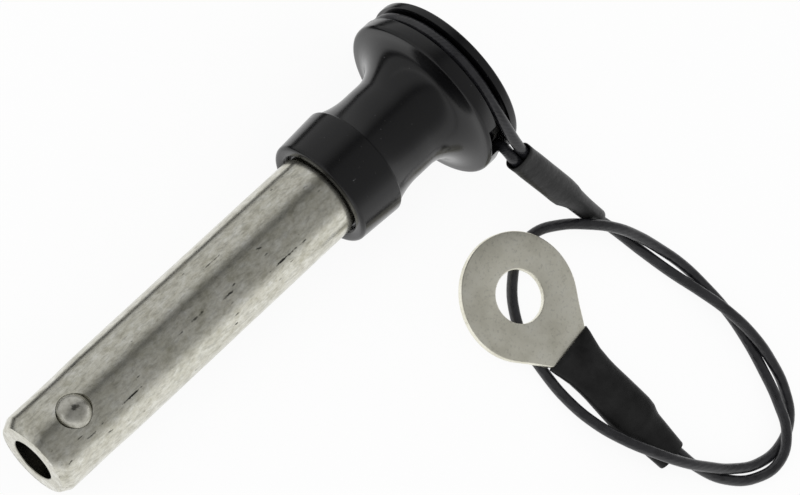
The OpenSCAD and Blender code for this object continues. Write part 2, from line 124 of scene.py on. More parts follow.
def add_camera():
    """A long lens from above the tip, rolled so that the pin runs up to the right."""
    focal_pixels, picture_width = 3630.0, 800.0
    data = bpy.data.cameras.new("photo_camera")
    data.sensor_width = 36.0
    data.lens = focal_pixels / picture_width * data.sensor_width
    data.clip_start = 0.01
    data.clip_end = 20.0
    camera = bpy.data.objects.new("photo_camera", data)
    right = Vector((0.64015, -0.61987, 0.45384))
    up = Vector((0.62780, 0.76258, 0.15603))
    back = -Vector((0.44281, -0.18503, -0.87732))
    turn = Matrix((right, up, back)).transposed().to_4x4()
    camera.matrix_world = Matrix.Translation((-0.201857, 0.078699, 0.446082)) @ turn
    bpy.context.scene.collection.objects.link(camera)
    bpy.context.scene.camera = camera


# Making and finishing pieces

def finish_piece(name, bm, body, material, replaced=(), sharp=35.0):
    """Makes a piece of the shape, smooth but for edges sharper than an angle, on its body."""
    bmesh.ops.recalc_face_normals(bm, faces=bm.faces)
    mesh = bpy.data.meshes.new(name)
    bm.to_mesh(mesh)
    bm.free()
    mesh.shade_smooth()
    mesh.set_sharp_from_angle(angle=math.radians(sharp))
    piece = bpy.data.objects.new(name, mesh)
    bpy.context.scene.collection.objects.link(piece)
    mesh.materials.append(material)
    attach(piece, body)
    if replaced:
        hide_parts(*replaced)
    return piece


def arc(centre_s, centre_r, radius, start, end, count):
    """Points of an arc in an outline, from one angle to another in degrees."""
    return [(centre_s + radius * math.cos(math.radians(start + (end - start) * i / count)),
             centre_r + radius * math.sin(math.radians(start + (end - start) * i / count)))
            for i in range(count + 1)]


def densify(points, step):
    """An outline with no stretch longer than a step."""
    dense = []
    for (s0, r0), (s1, r1) in zip(points, points[1:]):
        parts = max(1, math.ceil(math.hypot(s1 - s0, r1 - r0) / step))
        dense += [(s0 + (s1 - s0) * i / parts, r0 + (r1 - r0) * i / parts) for i in range(parts)]
    return dense + [points[-1]]


def turn_profile(bm, points, steps, start=0.0, sweep=360.0):
    """Spins an open outline of (station, radius) points about the pin's axis."""
    first = Matrix.Rotation(math.radians(start), 3, "X")
    verts = [bm.verts.new(first @ Vector((s, 0.0, r))) for s, r in points]
    edges = [bm.edges.new(pair) for pair in zip(verts, verts[1:])]
    full = sweep >= 360.0
    bmesh.ops.spin(bm, geom=verts + edges, cent=(0, 0, 0), axis=(1, 0, 0), dvec=(0, 0, 0),
                   angle=math.radians(sweep), space=Matrix.Identity(4), steps=steps,
                   use_merge=full, use_duplicate=False)


def close_seams(bm, gap=0.0005):
    """Merges the seam and the poles that spinning leaves, and closes open ends."""
    bmesh.ops.remove_doubles(bm, verts=bm.verts, dist=gap)
    holes = [e for e in bm.edges if e.is_boundary]
    if holes:
        bmesh.ops.holes_fill(bm, edges=holes, sides=0)


def carve(piece, cutter_bm):
    """Cuts a closed shape out of a piece and keeps the result as its mesh."""
    bmesh.ops.recalc_face_normals(cutter_bm, faces=cutter_bm.faces)
    mesh = bpy.data.meshes.new("cutter")
    cutter_bm.to_mesh(mesh)
    cutter_bm.free()
    cutter = bpy.data.objects.new("cutter", mesh)
    bpy.context.scene.collection.objects.link(cutter)
    cut = piece.modifiers.new("cut", "BOOLEAN")
    cut.operation = "DIFFERENCE"
    cut.solver = "EXACT"
    cut.object = cutter
    bpy.context.view_layer.update()
    carved = bpy.data.meshes.new_from_object(piece.evaluated_get(bpy.context.evaluated_depsgraph_get()))
    piece.modifiers.clear()
    old = piece.data
    piece.data = carved
    bpy.data.meshes.remove(old)
    bpy.data.objects.remove(cutter)
    carved.shade_smooth()
    carved.set_sharp_from_angle(angle=math.radians(30.0))


# Materials

def new_material(name):
    material = bpy.data.materials.new(name)
    material.use_nodes = True
    tree = material.node_tree
    shader = tree.nodes["Principled BSDF"]
    return material, tree, shader


def coords(tree, turn_y=0.0, scale=(1, 1, 1), place=(0, 0, 0)):
    """Object coordinates, turned in line with the pin where asked, moved, and then stretched."""
    source = tree.nodes.new("ShaderNodeTexCoord")
    mapping = tree.nodes.new("ShaderNodeMapping")
    mapping.inputs["Rotation"].default_value = (0, math.radians(turn_y), 0)
    mapping.inputs["Location"].default_value = place
    tree.links.new(source.outputs["Object"], mapping.inputs["Vector"])
    if scale == (1, 1, 1):
        return mapping.outputs["Vector"]
    stretch = tree.nodes.new("ShaderNodeMapping")
    stretch.inputs["Scale"].default_value = scale
    tree.links.new(mapping.outputs["Vector"], stretch.inputs["Vector"])
    return stretch.outputs["Vector"]


def noise(tree, vector, scale, detail=3.0, rough=0.5):
    node = tree.nodes.new("ShaderNodeTexNoise")
    node.inputs["Scale"].default_value = scale
    node.inputs["Detail"].default_value = detail
    node.inputs["Roughness"].default_value = rough
    tree.links.new(vector, node.inputs["Vector"])
    return node.outputs["Fac"]


def tool_rings(tree, spacing):
    """Fine turned rings round the pin's axis, a spacing apart in metres."""
    plain_spacing = 0.314
    node = tree.nodes.new("ShaderNodeTexWave")
    node.wave_type = "RINGS"
    node.rings_direction = "X"
    node.inputs["Scale"].default_value = plain_spacing / spacing
    node.inputs["Distortion"].default_value = 1.2
    node.inputs["Detail"].default_value = 2.0
    node.inputs["Detail Scale"].default_value = 3.0
    tree.links.new(coords(tree, LIE, (1, 1, 1), PIN_PLACE), node.inputs["Vector"])
    return node.outputs["Fac"]


def ramp(tree, value, stops):
    node = tree.nodes.new("ShaderNodeValToRGB")
    elements = node.color_ramp.elements
    while len(elements) < len(stops):
        elements.new(0.5)
    for element, (place, shade) in zip(elements, stops):
        element.position = place
        element.color = (*shade, 1.0) if isinstance(shade, tuple) else (shade, shade, shade, 1.0)
    tree.links.new(value, node.inputs["Fac"])
    return node.outputs["Color"]


def multiply(tree, a, b, share=1.0):
    node = tree.nodes.new("ShaderNodeMix")
    node.data_type = "RGBA"
    node.blend_type = "MULTIPLY"
    node.inputs["Factor"].default_value = share
    tree.links.new(a, node.inputs["A"])
    tree.links.new(b, node.inputs["B"])
    return node.outputs["Result"]


def bump(tree, shader, height, strength, distance):
    node = tree.nodes.new("ShaderNodeBump")
    node.inputs["Strength"].default_value = strength
    node.inputs["Distance"].default_value = distance
    tree.links.new(height, node.inputs["Height"])
    tree.links.new(node.outputs["Normal"], shader.inputs["Normal"])


def scratch_and_painted_spot(tree, vector, start, end, angle, half_width, depth):
    """A jagged dark mark along the shank, at an angle from straight up towards +Y; it draws the shank's
    scratches, and on the balls a painted dark reflection.
    """
    half = (end - start) / 2
    facing = tree.nodes.new("ShaderNodeMapping")
    facing.inputs["Rotation"].default_value = (math.radians(angle), 0, 0)
    tree.links.new(vector, facing.inputs["Vector"])
    local = tree.nodes.new("ShaderNodeMapping")
    local.inputs["Scale"].default_value = (1 / (half * MM), 1 / (half_width * MM), 0)
    local.inputs["Location"].default_value = (-(start + end) / 2 / half, 0, 0)
    tree.links.new(facing.outputs["Vector"], local.inputs["Vector"])
    far = tree.nodes.new("ShaderNodeVectorMath")
    far.operation = "LENGTH"
    tree.links.new(local.outputs["Vector"], far.inputs[0])
    ragged = noise(tree, vector, 1700.0, 3.0, 0.6)
    shifted = tree.nodes.new("ShaderNodeMath")
    shifted.operation = "MULTIPLY_ADD"
    shifted.inputs[1].default_value = 2.6
    tree.links.new(ragged, shifted.inputs[0])
    tree.links.new(far.outputs["Value"], shifted.inputs[2])
    halved = tree.nodes.new("ShaderNodeMath")
    halved.operation = "MULTIPLY"
    halved.inputs[1].default_value = 0.25
    tree.links.new(shifted.outputs[0], halved.inputs[0])
    return ramp(tree, halved.outputs[0], [(0.44, depth), (0.56, 1.0)])


def painted_bore_shade(tree, vector, radius, shade):
    """Painted shade: dark inside a radius round the pin's axis, plain outside it."""
    flat = tree.nodes.new("ShaderNodeMapping")
    flat.inputs["Scale"].default_value = (0, 1 / (radius * MM), 1 / (radius * MM))
    tree.links.new(vector, flat.inputs["Vector"])
    far = tree.nodes.new("ShaderNodeVectorMath")
    far.operation = "LENGTH"
    tree.links.new(flat.outputs["Vector"], far.inputs[0])
    halved = tree.nodes.new("ShaderNodeMath")
    halved.operation = "MULTIPLY"
    halved.inputs[1].default_value = 0.5
    tree.links.new(far.outputs["Value"], halved.inputs[0])
    return ramp(tree, halved.outputs[0], [(0.47, shade), (0.5, 1.0)])


def ground_steel():
    material, tree, shader = new_material("ground_steel")
    shader.inputs["Metallic"].default_value = 1.0
    pin = coords(tree, LIE, (1, 1, 1), PIN_PLACE)
    cloud = noise(tree, coords(tree, LIE, (0.8, 1.1, 1.1)), 700.0, 8.0, 0.72)
    patch = noise(tree, coords(tree, LIE, (1, 1.3, 1.3)), 190.0, 4.0, 0.6)
    grain = noise(tree, coords(tree, LIE, (900, 2600, 2600)), 1.0, 4.0, 0.6)
    pits = noise(tree, coords(tree, LIE, (500, 1800, 1800), (0.013, 0.004, 0.002)), 1.0, 2.0, 0.45)
    base = ramp(tree, cloud, [(0.32, (0.50, 0.485, 0.40)), (0.46, (0.645, 0.63, 0.55)),
                              (0.56, (0.71, 0.70, 0.625)), (0.68, (0.82, 0.815, 0.76))])
    base = multiply(tree, base, ramp(tree, patch, [(0.3, (0.86, 0.86, 0.83)), (0.65, 1.0)]))
    base = multiply(tree, base, ramp(tree, grain, [(0.3, 0.72), (0.55, 1.0)]))
    base = multiply(tree, base, ramp(tree, pits, [(0.245, 0.12), (0.28, 1.0)]))
    for start, end, angle, half_width, depth in SCRATCHES:
        base = multiply(tree, base, scratch_and_painted_spot(tree, pin, start, end, angle, half_width, depth))
    # painted shade: the bore, the inside of the mouth and the spindle in it are darkened to a tenth
    base = multiply(tree, base, painted_bore_shade(tree, pin, MOUTH_R + 0.14, 0.1))
    tree.links.new(base, shader.inputs["Base Color"])
    tree.links.new(ramp(tree, cloud, [(0.3, 0.27), (0.7, 0.19)]), shader.inputs["Roughness"])
    bump(tree, shader, cloud, 0.2, 0.00004)
    return material


def black_anodised():
    material, tree, shader = new_material("black_anodised")
    shader.inputs["IOR"].default_value = 1.45
    dust = noise(tree, coords(tree, LIE), 2300.0, 2.0, 0.6)
    turned = noise(tree, coords(tree, LIE, (5200, 12, 12)), 1.0, 3.0, 0.6)
    shade = ramp(tree, dust, [(0.73, (0.003, 0.003, 0.0034)), (0.79, (0.08, 0.08, 0.082))])
    tree.links.new(shade, shader.inputs["Base Color"])
    tree.links.new(ramp(tree, turned, [(0.3, 0.17), (0.7, 0.24)]), shader.inputs["Roughness"])
    bump(tree, shader, tool_rings(tree, 0.0004), 0.05, 0.00001)
    return material


def polished_ball():
    material, tree, shader = new_material("polished_ball")
    shader.inputs["Metallic"].default_value = 1.0
    scuffs = noise(tree, coords(tree, LIE), 900.0, 4.0, 0.65)
    base = ramp(tree, scuffs, [(0.32, (0.38, 0.37, 0.32)), (0.62, (0.62, 0.61, 0.55))])
    pin = coords(tree, LIE, (1, 1, 1), PIN_PLACE)
    # painted reflection: a dark patch across the top of each ball
    base = multiply(tree, base, scratch_and_painted_spot(tree, pin, 6.3, 7.5, BALL_LEAN, 0.5, 0.3))
    tree.links.new(base, shader.inputs["Base Color"])
    tree.links.new(ramp(tree, scuffs, [(0.35, 0.4), (0.6, 0.3)]), shader.inputs["Roughness"])
    bump(tree, shader, scuffs, 0.3, 0.00008)
    return material


def satin_nickel():
    material, tree, shader = new_material("satin_nickel")
    shader.inputs["Metallic"].default_value = 1.0
    blotch = noise(tree, coords(tree), 260.0, 4.0, 0.6)
    fine = noise(tree, coords(tree), 2400.0, 2.0, 0.5)
    base = ramp(tree, blotch, [(0.3, (0.76, 0.74, 0.63)), (0.52, (0.88, 0.86, 0.745)),
                               (0.72, (0.94, 0.925, 0.82))])
    base = multiply(tree, base, ramp(tree, fine, [(0.3, 0.86), (0.45, 1.0)]))
    tree.links.new(base, shader.inputs["Base Color"])
    tree.links.new(ramp(tree, blotch, [(0.35, 0.5), (0.65, 0.4)]), shader.inputs["Roughness"])
    bump(tree, shader, fine, 0.15, 0.00003)
    return material


def shrunk_sleeve():
    material, tree, shader = new_material("shrunk_sleeve")
    shader.inputs["IOR"].default_value = 1.42
    shader.inputs["Specular IOR Level"].default_value = 0.2
    dents = noise(tree, coords(tree), 240.0, 4.0, 0.6)
    fine = noise(tree, coords(tree), 3200.0, 2.0, 0.5)
    tree.links.new(ramp(tree, dents, [(0.3, (0.006, 0.006, 0.006)), (0.7, (0.018, 0.018, 0.018))]),
                   shader.inputs["Base Color"])
    tree.links.new(ramp(tree, fine, [(0.3, 0.42), (0.7, 0.3)]), shader.inputs["Roughness"])
    bump(tree, shader, dents, 0.5, 0.0004)
    return material


def strand_twist(tree, turns, strands):
    """Height of the twisted strands under the cable's coat, from the cable's own UV."""
    source = tree.nodes.new("ShaderNodeTexCoord")
    split = tree.nodes.new("ShaderNodeSeparateXYZ")
    tree.links.new(source.outputs["UV"], split.inputs[0])
    around = tree.nodes.new("ShaderNodeMath")
    around.operation = "MULTIPLY"
    around.inputs[1].default_value = 2 * math.pi * strands
    tree.links.new(split.outputs["Y"], around.inputs[0])
    phase = tree.nodes.new("ShaderNodeMath")
    phase.operation = "MULTIPLY_ADD"
    phase.inputs[1].default_value = 2 * math.pi * strands * turns
    tree.links.new(split.outputs["X"], phase.inputs[0])
    tree.links.new(around.outputs[0], phase.inputs[2])
    wave = tree.nodes.new("ShaderNodeMath")
    wave.operation = "SINE"
    tree.links.new(phase.outputs[0], wave.inputs[0])
    return wave.outputs[0]


def coated_cable():
    material, tree, shader = new_material("coated_cable")
    shader.inputs["IOR"].default_value = 1.42
    shader.inputs["Specular IOR Level"].default_value = 0.8
    wear = noise(tree, coords(tree), 520.0, 3.0, 0.6)
    tree.links.new(ramp(tree, wear, [(0.3, (0.006, 0.006, 0.0075)), (0.75, (0.02, 0.02, 0.023))]),
                   shader.inputs["Base Color"])
    tree.links.new(ramp(tree, wear, [(0.3, 0.24), (0.7, 0.36)]), shader.inputs["Roughness"])
    bump(tree, shader, strand_twist(tree, 22, 7), 0.16, 0.00004)
    return material


def turned_aluminium():
    material, tree, shader = new_material("turned_aluminium")
    shader.inputs["Metallic"].default_value = 1.0
    rings = tool_rings(tree, 0.0003)
    worn = noise(tree, coords(tree, LIE), 500.0, 4.0, 0.6)
    base = ramp(tree, rings, [(0.1, (0.56, 0.56, 0.565)), (0.9, (0.70, 0.70, 0.70))])
    base = multiply(tree, base, ramp(tree, worn, [(0.3, 0.82), (0.6, 1.0)]))
    tree.links.new(base, shader.inputs["Base Color"])
    tree.links.new(ramp(tree, worn, [(0.35, 0.42), (0.65, 0.3)]), shader.inputs["Roughness"])
    bump(tree, shader, rings, 0.3, 0.00002)
    return material


def spring_steel():
    material, tree, shader = new_material("spring_steel")
    shader.inputs["Metallic"].default_value = 1.0
    stain = noise(tree, coords(tree, LIE), 800.0, 3.0, 0.6)
    tree.links.new(ramp(tree, stain, [(0.3, (0.36, 0.35, 0.33)), (0.7, (0.56, 0.55, 0.53))]),
                   shader.inputs["Base Color"])
    shader.inputs["Roughness"].default_value = 0.32
    return material


def crimp_copper():
    material, tree, shader = new_material("crimp_copper")
    shader.inputs["Metallic"].default_value = 1.0
    stain = noise(tree, coords(tree), 700.0, 3.0, 0.6)
    tree.links.new(ramp(tree, stain, [(0.3, (0.46, 0.34, 0.22)), (0.7, (0.66, 0.52, 0.34))]),
                   shader.inputs["Base Color"])
    shader.inputs["Roughness"].default_value = 0.38
    return material


# Lanyard

def eased(points, share=0.2, held=3):
    """A run's points, each but for the ends drawn towards its neighbours, and kept off the floor."""
    lowest = CABLE_R + 0.08
    pts = [Vector(p) for p in points]
    run = list(pts)
    for i in range(held, len(pts) - held):
        run[i] = pts[i] + share * (pts[i - 1] - 2 * pts[i] + pts[i + 1])
    for point in run[2:]:
        point.z = max(point.z, lowest)
    return run


def cable(name, points, material, replaced):
    """A round cable on one smooth curve through points."""
    data = bpy.data.curves.new(name, "CURVE")
    data.dimensions = "3D"
    data.resolution_u = 6
    data.bevel_depth = CABLE_R * MM
    data.bevel_resolution = 7
    data.use_fill_caps = True
    spline = data.splines.new("BEZIER")
    spline.bezier_points.add(len(points) - 1)
    for knot, point in zip(spline.bezier_points, points):
        knot.co = Vector(point) * MM
        knot.handle_left_type = knot.handle_right_type = "AUTO"
    piece = bpy.data.objects.new(name, data)
    bpy.context.scene.collection.objects.link(piece)
    data.materials.append(material)
    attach(piece, "pin_body")
    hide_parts(replaced)
    return piece


def curve_length(points, parts=12):
    """Length of the smooth line through points, in their own unit."""
    pts = [Vector(p) for p in points]
    total, before = 0.0, pts[0]
    for i in range(len(pts) - 1):
        a = pts[max(i - 1, 0)]
        b, c = pts[i], pts[i + 1]
        d = pts[min(i + 2, len(pts) - 1)]
        for k in range(1, parts + 1):
            u = k / parts
            q = 0.5 * ((2 * b) + (c - a) * u + (2 * a - 5 * b + 4 * c - d) * u * u
                       + (3 * b - a - 3 * c + d) * u * u * u)
            total += (q - before).length
            before = q
    return total


def laid(s, y, u):
    """A place by its station, its way across and its rise from the pin's axis, as the pin lies."""
    lean = math.radians(LIE)
    return Vector((s * math.cos(lean) - u * math.sin(lean) - MID_X, y,
                   TIP_Z + s * math.sin(lean) + u * math.cos(lean)))


def on_loop(angle):
    """A place on the turn in the groove, at an angle from straight up towards the lanyard."""
    a = math.radians(angle)
    return laid(GROOVE_MID, -LOOP_R * math.sin(a), LOOP_R * math.cos(a))


def smooth_run(p, q, r, s, count):
    """Points from p to s, leaving towards q and arriving from r."""
    return [(1 - u) ** 3 * p + 3 * (1 - u) ** 2 * u * q + 3 * (1 - u) * u * u * r + u ** 3 * s
            for u in (i / count for i in range(count + 1))]


# The sleeve over the loop's crimp: its direction and length, and how its two strands lie side by side
FERRULE_DIR = (FERRULE_FAR - FERRULE_NEAR).normalized()
SLEEVE_LEN = (FERRULE_FAR - FERRULE_NEAR).length
PAIR_HINT = Vector((0.86, 0.2, 0.46))
PAIR_DIR = (PAIR_HINT - PAIR_HINT.dot(FERRULE_DIR) * FERRULE_DIR).normalized()
PAIR_HALF = 0.82


def strand_at(distance, side):
    """A place in the crimp on one of its two strands, a distance in from its near end."""
    return FERRULE_NEAR + distance * FERRULE_DIR + side * PAIR_HALF * PAIR_DIR


def loop_points():
    """The tail in the crimp, the turn round the groove, and the standing part back into the crimp."""
    middle = laid(GROOVE_MID, 0, 0)
    lower_up = (on_loop(76 - 90) - middle).normalized()
    upper_up = (on_loop(14 - 90) - middle).normalized()
    lower_end, upper_end = strand_at(0.8, -1), strand_at(1.6, 1)
    lower = smooth_run(lower_end, lower_end - 2 * FERRULE_DIR, on_loop(76) + 3 * lower_up, on_loop(76), 6)
    upper = smooth_run(on_loop(14), on_loop(14) - 6 * upper_up, upper_end - 4 * FERRULE_DIR, upper_end, 6)
    turn = [on_loop(a) for a in range(86, 370, 10)]
    inside = [strand_at(3.5, 1), strand_at(12.5, 1), strand_at(16, 0.5), strand_at(20, 0), FERRULE_FAR]
    return [strand_at(12.5, -1), strand_at(3.5, -1)] + lower + turn + upper + inside


def add_section(bm, matrix, half_w, half_h, power=2.0, count=48):
    """A closed ring of a rounded section, standing across its sleeve."""
    ring = bmesh.ops.create_circle(bm, cap_ends=False, segments=count, radius=1.0)["verts"]
    for v in ring:
        x, y = v.co.x, v.co.y
        v.co = matrix @ Vector((half_w * math.copysign(abs(x) ** (2 / power), x),
                                half_h * math.copysign(abs(y) ** (2 / power), y), 0.0))
    found = set(ring)
    return [e for e in bm.edges if e.verts[0] in found and e.verts[1] in found]


def bridge_sections(bm, rings):
    """Joins rings one after another and closes both ends."""
    for a, b in zip(rings, rings[1:]):
        bmesh.ops.bridge_loops(bm, edges=a + b)
    for ring in (rings[0], rings[-1]):
        bmesh.ops.contextual_create(bm, geom=ring)


def add_loop_sleeve(material):
    z = FERRULE_DIR
    x = PAIR_DIR
    y = z.cross(x)
    stand = Matrix((x, y, z)).transposed().to_4x4()
    bm = bmesh.new()
    rings = []
    # distance, half width, half height, section's squareness, sideways shift
    stations = [
        (2.6, 1.86, 1.06, 2.4, 0), (0.3, 1.9, 1.1, 2.4, 0), (0.05, 1.98, 1.16, 2.4, 0),
        (0.0, 2.06, 1.26, 2.4, 0), (0.12, 2.14, 1.34, 2.4, 0), (1.0, 2.14, 1.34, 2.4, 0),
        (2.6, 2.12, 1.32, 2.4, 0), (3.3, 2.14, 1.34, 2.5, 0), (4.2, 2.16, 1.36, 2.6, 0),
        (8.0, 2.15, 1.35, 2.6, 0), (12.0, 2.15, 1.36, 2.6, 0), (14.6, 2.17, 1.36, 2.5, -0.02),
        (16.2, 2.12, 1.35, 2.4, -0.02), (17.8, 1.9, 1.34, 2.3, 0.1), (19.2, 1.68, 1.34, 2.2, 0.12),
        (21.0, 1.6, 1.33, 2.2, 0.08), (24.0, 1.52, 1.3, 2.1, 0.02), (27.5, 1.46, 1.25, 2.1, 0),
        (SLEEVE_LEN - 0.12, 1.44, 1.23, 2.0, 0), (SLEEVE_LEN, 1.38, 1.17, 2.0, 0),
        (SLEEVE_LEN - 0.04, 1.24, 1.04, 2.0, 0), (SLEEVE_LEN - 0.3, 1.18, 0.98, 2.0, 0),
        (SLEEVE_LEN - 2.0, 1.1, 0.95, 2.0, 0),
    ]
    for distance, half_w, half_h, power, shift in stations:
        place = Matrix.Translation(FERRULE_NEAR + distance * z + shift * x) @ stand
        rings.append(add_section(bm, TO_METRES @ place, half_w, half_h, power))
    bridge_sections(bm, rings)
    return finish_piece("sleeve_over_loop", bm, "pin_body", material, ["loop_sleeve"], 50.0)


def add_terminal_sleeve(material):
    bm = bmesh.new()
    rings = []
    across = Matrix.Rotation(math.radians(90), 4, "Z") @ Matrix.Rotation(math.radians(90), 4, "X")
    # distance, half width, half height, height of the middle, squareness
    stations = [
        (12.4, 3.2, 0.7, 2.21, 3.0), (10.55, 3.96, 0.72, 2.21, 3.2), (10.42, 4.1, 0.78, 2.21, 3.2),
        (10.4, 4.3, 0.88, 2.21, 3.2), (10.5, 4.44, 0.96, 2.21, 3.2), (11.4, 4.3, 1.04, 2.2, 3.0),
        (12.8, 3.95, 1.3, 2.12, 2.6), (14.2, 3.66, 1.52, 2.05, 2.3), (16.2, 3.5, 1.86, 2.0, 2.1),
        (17.6, 3.5, 1.96, 2.0, 2.0), (20.0, 3.62, 1.96, 2.0, 2.0), (22.6, 3.74, 1.95, 2.0, 2.0),
        (24.6, 3.8, 1.93, 2.0, 2.0), (25.8, 3.66, 1.9, 2.0, 2.0), (26.5, 3.34, 1.78, 2.0, 2.0),
        (27.2, 3.08, 1.64, 2.0, 2.1), (28.6, 2.96, 1.56, 2.0, 2.1), (31.0, 2.72, 1.5, 2.0, 2.2),
        (32.7, 2.58, 1.46, 2.0, 2.2), (32.86, 2.5, 1.4, 2.0, 2.2), (32.84, 2.34, 1.22, 2.0, 2.2),
        (32.5, 2.26, 1.14, 2.0, 2.2), (30.5, 2.1, 1.05, 2.0, 2.2),
    ]
    for distance, half_w, half_h, height, power in stations:
        place = RING_LAID @ Matrix.Translation((distance, 0, height)) @ across
        rings.append(add_section(bm, place, half_w, half_h, power))
    bridge_sections(bm, rings)
    return finish_piece("sleeve_over_terminal", bm, "pin_body", material, ["terminal_sleeve"], 50.0)


def add_ring_terminal(material):
    """Stamped ring and tab with rounded edges, and the crimp barrel under the sleeve."""
    bm = bmesh.new()
    leave = math.radians(52)
    low, high = 1.66, 2.76
    outline = [(RING_R * math.cos(a), RING_R * math.sin(a))
               for a in (leave + (2 * math.pi - 2 * leave) * i / 120 for i in range(121))]
    tab = [(7.6, -6.0), (9.4, -4.75), (10.4, -4.0), (13.4, -2.2), (17.6, -1.2)]
    outline += tab + [(x, -y) for x, y in reversed(tab)]
    rim = [bm.verts.new((x, y, low)) for x, y in outline]
    edges = [bm.edges.new((rim[i], rim[(i + 1) % len(rim)])) for i in range(len(rim))]
    hole = bmesh.ops.create_circle(bm, cap_ends=False, segments=96, radius=EYE_R,
                                   matrix=Matrix.Translation((0, 0, low)))["verts"]
    held = set(hole)
    edges += [e for e in bm.edges if e.verts[0] in held and e.verts[1] in held]
    bmesh.ops.triangle_fill(bm, edges=edges, use_beauty=True, use_dissolve=False)
    plate = bmesh.ops.extrude_face_region(bm, geom=bm.faces[:])
    bmesh.ops.translate(bm, verts=[v for v in plate["geom"] if isinstance(v, bmesh.types.BMVert)],
                        vec=(0, 0, high - low))
    bmesh.ops.recalc_face_normals(bm, faces=bm.faces)
    corners = [e for e in bm.edges if len(e.link_faces) == 2 and e.calc_face_angle(0) > 1.2]
    bmesh.ops.bevel(bm, geom=corners, offset=0.2, offset_type="OFFSET", segments=3, profile=0.5,
                    affect="EDGES", material=-1, clamp_overlap=True)
    barrel = Matrix.Translation((21.6, 0, 2.0)) @ Matrix.Rotation(math.pi / 2, 4, "Y")
    bmesh.ops.create_cone(bm, cap_ends=True, segments=48, radius1=1.5, radius2=1.5, depth=9.0,
                          matrix=barrel)
    bmesh.ops.transform(bm, matrix=RING_LAID, verts=bm.verts)
    return finish_piece("ring_plate", bm, "pin_body", material, ["ring_terminal"], 40.0)


# Pin

def add_shank(material):
    """The shank with its bore, its mouth and its pressed-in tail, and a hole with a lip at each ball."""
    tail_end = 66.34
    outline = [
        (tail_end, GUIDE_R), (3.45, GUIDE_R), (3.0, MOUTH_R), (0.12, MOUTH_R), (0.0, MOUTH_R + 0.12),
        (0.0, 5.4), (0.03, 5.48), (0.1, 5.56), (1.3, 6.19), (1.4, 6.23), (1.5, 6.24),
        (8.5, 6.245), (9.5, 6.255), (10.5, 6.28), (11.5, 6.31), (12.5, 6.335), (13.5, SHANK_R),
        (COLLAR_S - 0.16, SHANK_R), (COLLAR_S - 0.15, 6.05), (COLLAR_S + 1.0, 6.05),
        (COLLAR_S + 1.0, TAIL_R), (tail_end - 0.4, TAIL_R), (tail_end, TAIL_R - 0.4), (tail_end, GUIDE_R),
    ]
    bm = bmesh.new()
    turn_profile(bm, densify(outline, 1.2), 180)
    close_seams(bm)
    bmesh.ops.transform(bm, matrix=PIN_LAID, verts=bm.verts)
    shank = finish_piece("shank_ground", bm, "pin_body", material, ["shank"], 30.0)
    for turn in (BALL_LEAN, BALL_LEAN + 180.0):
        hole = bmesh.new()
        bar = [(0.6, 0.0), (0.6, 2.55), (5.45, 2.55), (6.0, 2.4), (6.4, 2.68), (7.2, 2.68), (7.2, 0.0)]
        turn_profile(hole, bar, 72)
        close_seams(hole)
        stand = (PIN_LAID @ Matrix.Translation((BALL_S, 0, 0)) @ Matrix.Rotation(math.radians(-turn), 4, "X")
                 @ Matrix.Rotation(math.radians(-90), 4, "Y"))
        bmesh.ops.transform(hole, matrix=stand, verts=hole.verts)
        carve(shank, hole)
    return shank


def add_handle(material):
    """The turned handle: collar, waist, flare, flange with its groove, thumb dish and stepped bore."""
    collar_back_r = 8.35
    drop = collar_back_r - WAIST_R
    run = WAIST_S - COLLAR_BACK_S
    sweep_r = (run * run + drop * drop) / (2 * drop)
    sweep_a = math.degrees(math.asin(run / sweep_r))
    outer = [(COLLAR_S + 1.0, 6.26), (COLLAR_S + 0.55, 6.4), (COLLAR_S + 0.06, 6.86), (COLLAR_S, 6.98)]
    outer += arc(COLLAR_S + 0.6, 7.7, 0.6, 180, 90, 12)
    outer += arc(COLLAR_BACK_S - 0.3, collar_back_r, 0.3, 90, 0, 10)
    outer += arc(WAIST_S, WAIST_R + sweep_r, sweep_r, -90 - sweep_a, -90, 30)
    outer += arc(FLARE_S, WAIST_R + FLARE_R, FLARE_R, -90, -10, 60)
    outer += arc(RIM_S, 12.2, 0.6, 170, 90, 14)
    groove = [(RIM_S, GROOVE_R), (GROOVE_S + 2.4, GROOVE_R), (GROOVE_S + 2.4, FLANGE_R - 0.12),
              (GROOVE_S + 2.44, FLANGE_R - 0.04), (GROOVE_S + 2.52, FLANGE_R)]
    back = arc(BACK_S - 0.4, FLANGE_R - 0.4, 0.4, 90, 0, 8)
    back += [(BACK_S - 1.2 * math.sin(math.pi / 2 * i / 14), 9.5 - 3.2 * i / 14) for i in range(15)]
    back += [(BACK_S - 1.26, 6.25)]
    inner = [(76.25, 6.25), (76.25, 6.75), (75.25, 6.75), (75.25, 6.25), (69.65, 6.25), (69.65, 4.7),
             (66.35, 4.7), (66.35, TAIL_R), (COLLAR_S + 1.0, TAIL_R), (COLLAR_S + 1.0, 6.26)]
    bm = bmesh.new()
    turn_profile(bm, densify(outer + groove + back + inner, 1.0), 192)
    close_seams(bm)
    # the lip in front of the groove stops short of the notch that lets the lanyard out
    lip = [(RIM_S, GROOVE_R), (RIM_S, FLANGE_R), (GROOVE_S - 0.12, FLANGE_R),
           (GROOVE_S - 0.04, FLANGE_R - 0.04), (GROOVE_S, FLANGE_R - 0.12), (GROOVE_S, GROOVE_R),
           (RIM_S, GROOVE_R)]
    part = bmesh.new()
    turn_profile(part, lip, 180, 62.0, 336.0)
    close_seams(part)
    lip_mesh = bpy.data.meshes.new("lip")
    part.to_mesh(lip_mesh)
    part.free()
    bm.from_mesh(lip_mesh)
    bpy.data.meshes.remove(lip_mesh)
    bmesh.ops.transform(bm, matrix=PIN_LAID, verts=bm.verts)
    return finish_piece("handle_turned", bm, "pin_body", material, ["handle"], 28.0)


